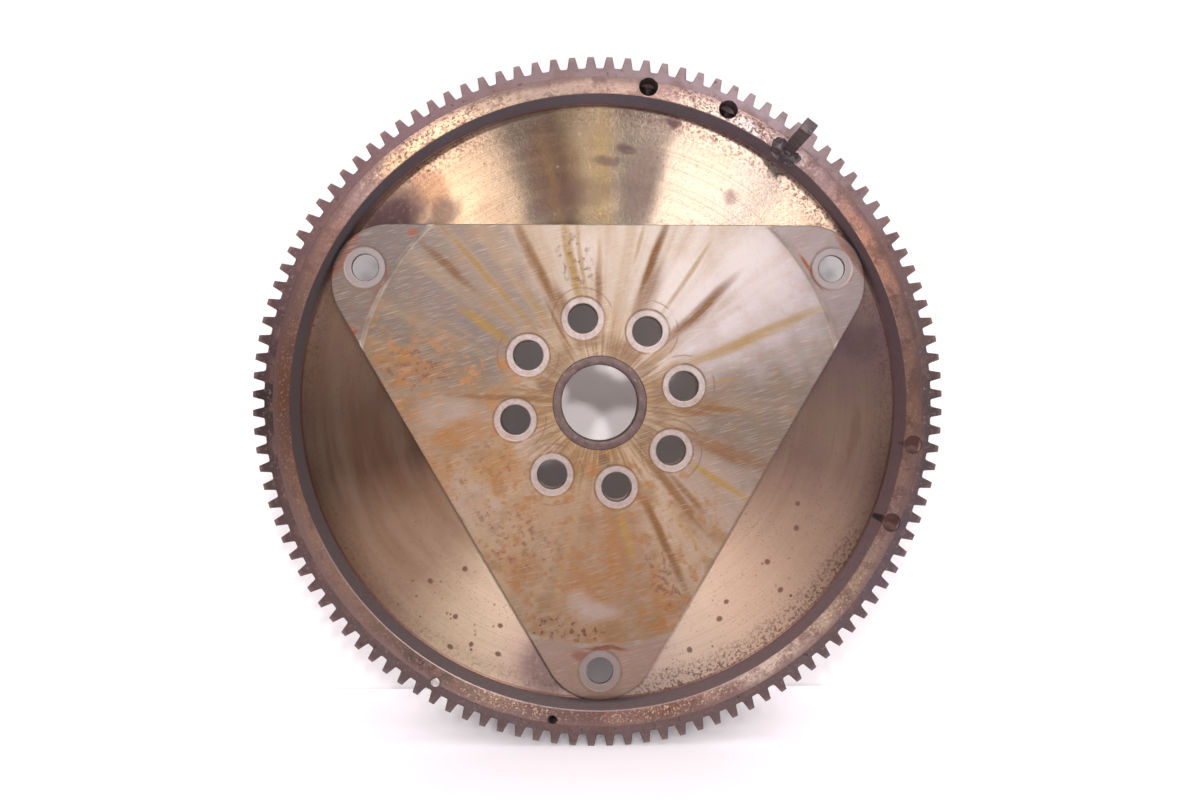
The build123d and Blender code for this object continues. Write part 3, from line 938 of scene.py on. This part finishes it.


# the drive plate: its tone round the axis, with painted light and shade in it, then its marks
plateToneAndLight = [
    (0, 0.26, 0.208, 0.166), (14, 0.28, 0.235, 0.2), (36, 0.31, 0.27, 0.245), (56, 0.33, 0.29, 0.3),
    (84, 0.125, 0.094, 0.078), (108, 0.126, 0.09, 0.07), (122, 0.23, 0.17, 0.14), (150, 0.31, 0.215, 0.145),
    (168, 0.22, 0.123, 0.07), (186, 0.248, 0.149, 0.089), (215, 0.29, 0.195, 0.12),
    (245, 0.26, 0.16, 0.095), (262, 0.21, 0.135, 0.09), (284, 0.116, 0.083, 0.061),
    (300, 0.113, 0.086, 0.075), (328, 0.132, 0.097, 0.077), (337, 0.24, 0.19, 0.155),
    (350, 0.25, 0.205, 0.165),
]
plateMarks = {
    # marks that run outwards: (bearing, from, to, width, strength)
    "browns": [(335, 40, 86, 4.5, 0.75), (337.5, 38, 54, 7, 0.6), (20.4, 48, 84, 3.6, 0.85),
        (23, 40, 66, 7, 0.55), (47.3, 40, 76, 5, 0.8), (93, 36, 62, 3, 0.7), (91, 40, 52, 6, 0.5),
        (111.5, 43, 80, 6.5, 0.75), (96.5, 32, 50, 2.5, 0.6), (136, 44, 66, 3, 0.65),
        (140.3, 28, 72, 4, 0.7), (155.5, 36, 90, 3.4, 0.8), (312, 74, 101, 3.5, 0.6),
        (359.7, 42, 60, 3, 0.6), (273.5, 20, 62, 2.6, 0.6), (331.5, 26, 50, 1.6, 0.6),
        (108.7, 32, 60, 1.4, 0.6), (334.8, 55, 76, 1.3, 0.8), (21, 50, 70, 1.3, 0.7),
        (155, 42, 70, 1.2, 0.7)],
    "olives": [(348.8, 44, 80, 4, 0.75), (353, 46, 76, 2, 0.5), (67, 45, 102, 5, 0.6),
        (304, 46, 73, 4, 0.7), (318.3, 42, 106, 2, 0.6), (123.2, 46, 80, 3, 0.75), (34.5, 48, 84, 2, 0.45),
        (14, 64, 80, 2, 0.35), (168.5, 46, 72, 3.5, 0.6), (312, 50, 66, 4, 0.4), (79.5, 50, 61, 2, 0.4),
        (145.5, 54, 82, 2, 0.4), (326, 40, 60, 3, 0.4), (193, 54, 99, 1.6, 0.5), (240, 44, 66, 5, 0.4),
        (0.5, 56, 70, 2, 0.4)],
    # patches: (bearing, radius, half width, half length, strength)
    "rusts": [(257, 62, 6, 14, 0.6), (206, 80, 8, 7, 0.6), (184, 79, 10, 6, 0.55), (281, 84, 4, 15, 0.55),
        (174, 67, 5, 13, 0.5), (237, 51, 8, 9, 0.5), (162, 88, 4, 12, 0.6), (164.5, 95, 3, 11, 0.55),
        (283, 87, 2.5, 4, 0.9), (276, 87, 2.5, 3, 0.8), (292, 45, 1.6, 3, 0.9), (187, 29, 3, 4, 0.7),
        (222, 70, 16, 5, 0.3), (214, 58, 8, 8, 0.35), (246, 76, 10, 5, 0.35)],
    "pales": [(230, 70, 16, 8, 0.22), (267, 67, 6, 12, 0.2), (235, 34, 8, 8, 0.25), (181, 92, 9, 4, 0.4),
        (186, 88, 5, 6, 0.3), (36, 62, 14, 13, 0.5), (50, 88, 18, 12, 0.55), (356, 64, 7, 10, 0.3),
        (64, 70, 10, 20, 0.3)],
    "specks": [(189, 100.5, 20, 5.5, 1), (212, 70, 22, 14, 0.55), (160, 82, 7, 16, 0.6),
        (240, 60, 12, 18, 0.4), (350, 61, 6, 14, 0.6), (280, 82, 9, 14, 0.6)],
    "hub": [(26, 24.5, 9, 5, 0.7), (351, 27, 7, 3, 0.7), (315, 25, 8, 4, 0.5), (55, 25, 3, 5, 0.6),
        (80, 27, 4, 3, 0.6), (98, 26, 3, 4, 0.6), (127, 25, 5, 4, 0.7), (174, 24, 2, 3, 0.9),
        (290, 24, 3, 4, 0.9)],
    "tabs": [(286, 111, 1.8, 2.4, 1), (58, 108.6, 9, 0.9, 0.9), (60, 127.4, 14, 1.4, 0.6),
        (300, 127.4, 14, 1.4, 0.6), (178, 107.5, 9, 0.9, 0.8), (312, 110, 2.4, 2.2, 0.7),
        (298, 108, 10, 0.7, 0.6), (184, 111, 4, 2, 0.5)],
}


def mixSpringSteel():
    f = Finish("springSteel")
    spray = f.cloud(1.0, 5, 7.0, f.around(9.0, 0.012))
    fray = f.cloud(1.0, 4, 7.5, f.around(26.0, 0.05))
    mottle = f.cloud(11, 6, 8.0)
    fine = f.cloud(1.6, 6, 8.5)
    brushed = f.scratches(74, 9.0, 0.35, 9.0)
    hatched = f.scratches(158, 5.0, 0.3, 9.5)
    bent = f.strayed(12, 1.5, 0.7)
    bowed = f.strayed(34, 0.9, 0.9)
    stray = f.times(f.maths("SUBTRACT", mottle, 0.5), 24.0)
    low = f.band(f.bearing, 128, 292, 20)
    # the plate's tone round the axis, painted light and shade included
    f.tone = f.roundTone(plateToneAndLight, stray)
    f.over(f.ramp(f.radius, 52, 30, 0.0, 0.6), (0.30, 0.215, 0.14))
    f.over(f.ramp(spray, 0.42, 0.66, 0.0, 0.55), (0.2, 0.135, 0.08))
    mottled = f.times(f.ramp(mottle, 0.47, 0.66), f.between(low, 0.15, 0.75))
    f.over(mottled, (0.19, 0.10, 0.043))
    dabs = f.times(f.ramp(f.cloud(4.5, 6, 8.8), 0.51, 0.63), f.between(low, 0.12, 0.85))
    f.over(dabs, (0.24, 0.11, 0.04))
    f.over(f.blots(plateMarks["pales"], bent, 0.5), (0.36, 0.32, 0.31))
    halo = f.times(f.ramp(fray, 0.42, 0.58), f.ramp(f.radius, 24, 50, 0.8, 0.0))
    f.over(halo, (0.15, 0.08, 0.025))
    edged = f.ramp(fray, 0.3, 0.55, 0.5, 1.15)
    olives = f.times(f.rays(plateMarks["olives"], bowed), edged)
    browns = f.times(f.rays(plateMarks["browns"], bowed), edged)
    f.over(olives, (0.27, 0.15, 0.022))
    rusts = f.times(f.blots(plateMarks["rusts"], bent, 0.6), f.ramp(fine, 0.3, 0.55, 0.5, 1.0))
    f.over(rusts, (0.23, 0.093, 0.017))
    f.over(browns, (0.15, 0.056, 0.005))
    f.over(f.blots(plateMarks["hub"], bent, 0.5), (0.12, 0.062, 0.028))
    specks = f.times(f.ramp(f.cloud(2.4, 4, 9.2), 0.54, 0.62), f.blots(plateMarks["specks"], bent, 0.5))
    f.over(specks, (0.11, 0.035, 0.02))
    # the bent tabs
    onTab = f.ramp(f.radius, 105.6, 107.6)
    tabTone = f.roundTone([(0, 0.085, 0.072, 0.077), (180, 0.25, 0.17, 0.145), (300, 0.09, 0.07, 0.066)], 0.0)
    f.over(f.times(onTab, 0.65), tabTone)
    # painted highlight: a lighter band along the step of each tab, against the shade its slope catches
    step = f.times(f.band(f.radius, 105.4, 107.4, 1.2), f.ramp(f.cloud(14, 3, 4.1), 0.4, 0.6, 0.3, 1.0))
    f.over(step, (0.32, 0.26, 0.22))
    f.over(f.times(f.blots(plateMarks["tabs"], bent, 0.4), edged), (0.16, 0.045, 0.022))
    f.over(f.times(brushed, f.ramp(brushed, 0.5, 0.72, 0.0, 0.6)), (0.42, 0.37, 0.34))
    f.over(f.ramp(hatched, 0.55, 0.75, 0.0, 0.3), (0.13, 0.09, 0.07))
    # bolt seats and the marks of earlier ones
    fromCrank, fromTab = f.fromHoles(crankBolts), f.fromHoles(tabBolts)
    older = f.times(f.band(fromCrank, 13.1, 13.7, 0.5), f.ramp(f.cloud(16, 2, 4.4), 0.48, 0.56))
    rim = f.most(f.band(fromCrank, 9.2, 10.1, 0.8), f.times(f.band(fromTab, 8.9, 10.0, 0.9), 0.6))
    rim = f.times(rim, f.ramp(f.cloud(5, 4, 4.9), 0.35, 0.6, 0.2, 0.85))
    f.over(f.most(rim, f.times(older, 0.6)), (0.12, 0.06, 0.035))
    seats = f.times(f.ramp(fromCrank, 9.1, 9.45, 1.0, 0.0), f.ramp(fine, 0.3, 0.65, 1.0, 0.5))
    f.over(seats, (0.31, 0.265, 0.26))
    f.over(f.ramp(fromTab, 8.7, 9.2, 0.7, 0.0), (0.22, 0.19, 0.19))
    bores = f.most(f.ramp(fromCrank, 6.9, 6.6), f.ramp(fromTab, 6.2, 5.85))
    f.over(f.ramp(bores, 0, 1, 0, 0.6), (0.1, 0.07, 0.065))
    dirt = f.most(olives, browns, specks)
    rough = f.between(dirt, f.between(brushed, 0.4, 0.52), 0.62)
    metal = f.between(dirt, 0.6, 0.3)
    relief = f.maths("ADD", f.maths("ADD", brushed, f.times(hatched, 0.6)), f.times(fine, 0.5))
    return f.coat(rough, metal, relief, 0.02)


def mixPlain(name, tone, dark, light, metallic, roughness, size=1.5, depth=0.05):
    # scaled and rusted steel: a tone broken by dark patches and lighter specks
    f = Finish(name)
    coarse, fine = f.cloud(size * 3, 5, 9.0), f.cloud(size, 5, 9.7)
    f.tone = tone
    f.over(f.ramp(coarse, 0.4, 0.65), dark)
    f.over(f.ramp(fine, 0.56, 0.72, 0.0, 0.8), light)
    rough = f.between(fine, roughness - 0.08, roughness + 0.12)
    return f.coat(rough, metallic, f.maths("ADD", fine, coarse), depth)


turnedSteel = mixTurnedSteel()
gearSteel = mixGearSteel()
springSteel = mixSpringSteel()
sleeveSteel = mixPlain("sleeveSteel", (0.095, 0.058, 0.053), (0.065, 0.036, 0.032), (0.19, 0.13, 0.115),
                       0.4, 0.45)
pinSteel = mixPlain("pinSteel", (0.62, 0.6, 0.57), (0.4, 0.36, 0.33), (0.8, 0.78, 0.75), 0.9, 0.35, 0.8)
pegSteel = mixPlain("pegSteel", (0.10, 0.076, 0.084), (0.05, 0.035, 0.038), (0.2, 0.16, 0.17), 0.3, 0.5, 1.2)
weldSteel = mixPlain("weldSteel", (0.10, 0.076, 0.082), (0.03, 0.02, 0.02), (0.24, 0.2, 0.2), 0.35, 0.5, 0.9,
                     0.12)
print("finishes mixed")

# the object, put together
pieces = [
    (makeCarrier(), turnedSteel, "turned_steel", "carrier_plate"),
    (makeRingGear(gearSteel), gearSteel, "gear_steel", "ring_gear"),
    (makeDrivePlate(), springSteel, "spring_steel", "drive_plate"),
    (makeSleeve(), sleeveSteel, "sleeve_steel", "hub_sleeve"),
    (makeLockPin(), pinSteel, "pin_steel", "gear_lock_pin"),
    (makePeg(), pegSteel, "peg_steel", "reference_peg"),
    (makeWeld(), weldSteel, "weld_steel", "peg_weld"),
]
for piece, finish, slotName, node in pieces:
    piece.data.materials.clear()
    piece.data.materials.append(finish)
    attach(piece, "root")
    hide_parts(node)
    print(piece.name, "has", len(piece.data.polygons), "faces")
for materialSlot in frame["nodes"]["spacer_ring"].material_slots:
    materialSlot.material = turnedSteel

# surroundings
setting = {"ground": -147.5, "wall": 60.0, "size": 4000.0}


def mixStage(name, tone, glow):
    f = Finish(name, 0.8, 0.0)
    shade = f.cloud(300, 2, 11.0)
    # painted shadows: the wall is darker behind the disc, where it is seen through the holes near the tabs,
    # and along its foot
    openings = [(180, 136, 15, 15, 0.75), (299, 141, 14, 12, 0.7), (61, 143, 14, 10, 0.6),
                (57, 131, 20, 4, 0.4)]
    paintedShadow = f.most(f.band(f.radius, 28, 85, 12), f.blots(openings, f.place, 0.5))
    paintedShadow = f.times(paintedShadow, f.ramp(f.z, (ground + 1) * mm, (ground + 2) * mm))
    paintedShadow = f.most(paintedShadow, f.ramp(f.z, ground * mm, (ground + 2.5) * mm, 0.25 - glow, 0.0))
    # painted shadow on the table behind the disc's foot
    under = f.vector("MULTIPLY", f.vector("SUBTRACT", f.place, (0, 0.018, ground * mm)), (11.0, 24.0, 0))
    under = f.times(f.ramp(f.vector("LENGTH", under), 0.35, 1.1, 1.0, 0.0), glow * 3)
    paintedShadow = f.most(paintedShadow, under)
    paper = f.blend(shade, tone, tuple(c * 0.985 for c in tone))
    # painted light: the table glows, except in its painted shadow under the disc
    glows = f.times(f.maths("SUBTRACT", 1.0, under), glow)
    f.use({"Base Color": f.blend(paintedShadow, paper, tuple(c * 0.42 for c in tone)), "Emission Color": tone,
           "Emission Strength": glows})
    # seen from the back, and by the lamps, the sheets are clear
    faces, rays = f.add("ShaderNodeNewGeometry"), f.add("ShaderNodeLightPath")
    hidden = f.most(faces["Backfacing"], rays["Is Shadow Ray"])
    clear = f.add("ShaderNodeBsdfTransparent")[0]
    choice = f.add("ShaderNodeMixShader", {0: hidden, 1: f.shader.outputs[0], 2: clear})[0]
    plug(choice, f.tree.nodes["Material Output"].inputs["Surface"])
    return f.material


def makeSheet(name, corners, material):
    work = bmesh.new()
    work.faces.new([work.verts.new(Vector(c) * mm) for c in corners])
    mesh = bpy.data.meshes.new(name)
    work.to_mesh(mesh)
    work.free()
    mesh.materials.append(material)
    sheet = bpy.data.objects.new(name, mesh)
    bpy.context.scene.collection.objects.link(sheet)
    return sheet


ground, wall, far = setting["ground"], setting["wall"], setting["size"]
seam = [(-far, wall, ground), (far, wall, ground)]
stageWhite = mixStage("stageWhite", (0.96, 0.94, 0.955), 0.0)
tableWhite = mixStage("tableWhite", (0.97, 0.93, 0.97), 0.3)
makeSheet("tableTop", [(-far, -far, ground), (far, -far, ground), seam[1], seam[0]], tableWhite)
makeSheet("backWall", [seam[0], seam[1], (far, wall, far), (-far, wall, far)], stageWhite)

# camera
view = {"place": (-9.88, -427.34, 7.30), "yaw": 1.374, "pitch": -0.832, "roll": 0.013, "lens": 28.60}
camera = bpy.data.objects.new("camera", bpy.data.cameras.new("camera"))
camera.data.lens = view["lens"]
camera.data.sensor_width = 36
camera.data.clip_start = 0.01
camera.location = Vector(view["place"]) * mm
camera.rotation_mode = "XYZ"
camera.rotation_euler = [math.radians(a) for a in (90 + view["pitch"], view["roll"], -view["yaw"])]
bpy.context.scene.collection.objects.link(camera)
bpy.context.scene.camera = camera

# lights
warm = (1, 0.95, 0.93)
lights = {
    "right": {"towards": (0.148, -0.957, 0.251), "away": 1.1, "size": 0.08, "power": 4.6, "tone": warm},
    "left": {"towards": (-0.185, -0.941, 0.282), "away": 1.1, "size": 0.08, "power": 3.8, "tone": warm},
    "top": {"towards": (0.05, -0.35, 1.0), "away": 1.6, "size": 1.6, "power": 9.0, "tone": (1, 0.98, 1)},
    "back": {"towards": (0.3, 1.0, 0.6), "away": 1.6, "size": 1.4, "power": 5.0, "tone": (1, 0.98, 0.97)},
}
for name, light in lights.items():
    lamp = bpy.data.lights.new(name + "Light", "AREA")
    lamp.shape = "DISK"
    lamp.size = light["size"]
    lamp.energy = light["power"]
    lamp.color = light["tone"]
    holder = bpy.data.objects.new(name + "Light", lamp)
    direction = Vector(light["towards"]).normalized()
    holder.location = direction * light["away"]
    holder.rotation_mode = "QUATERNION"
    holder.rotation_quaternion = direction.to_track_quat("Z", "Y")
    bpy.context.scene.collection.objects.link(holder)

world = bpy.data.worlds.new("room")
world.use_nodes = True
world.node_tree.nodes["Background"].inputs["Color"].default_value = (1, 0.97, 0.98, 1)
world.node_tree.nodes["Background"].inputs["Strength"].default_value = 0.2
bpy.context.scene.world = world
bpy.context.scene.view_settings.view_transform = "Standard"
print("stage, lights and camera set")
